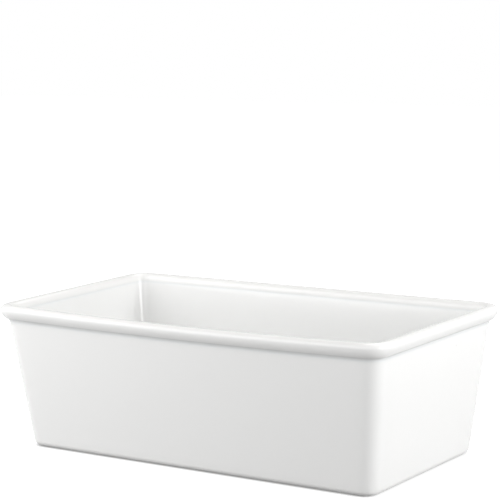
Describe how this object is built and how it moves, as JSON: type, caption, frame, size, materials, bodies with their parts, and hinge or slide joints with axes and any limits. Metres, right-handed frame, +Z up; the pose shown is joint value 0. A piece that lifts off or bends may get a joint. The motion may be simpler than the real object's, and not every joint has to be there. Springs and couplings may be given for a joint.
{
  "type": "baking dish",
  "caption": "Deep rectangular white porcelain baking dish with leaning walls, rounded corners and a rolled rim.",
  "frame": {"origin": "centre of the underside, on the surface that the dish stands on", "axes": "+X along the long sides, +Y along the short sides, +Z up out of the open top"},
  "size_m": [0.31, 0.169, 0.101],
  "materials": {
    "glazed_porcelain": "gloss"
  },
  "bodies": {
    "root": {"dish": "glazed_porcelain"}
  },
  "joints": []
}
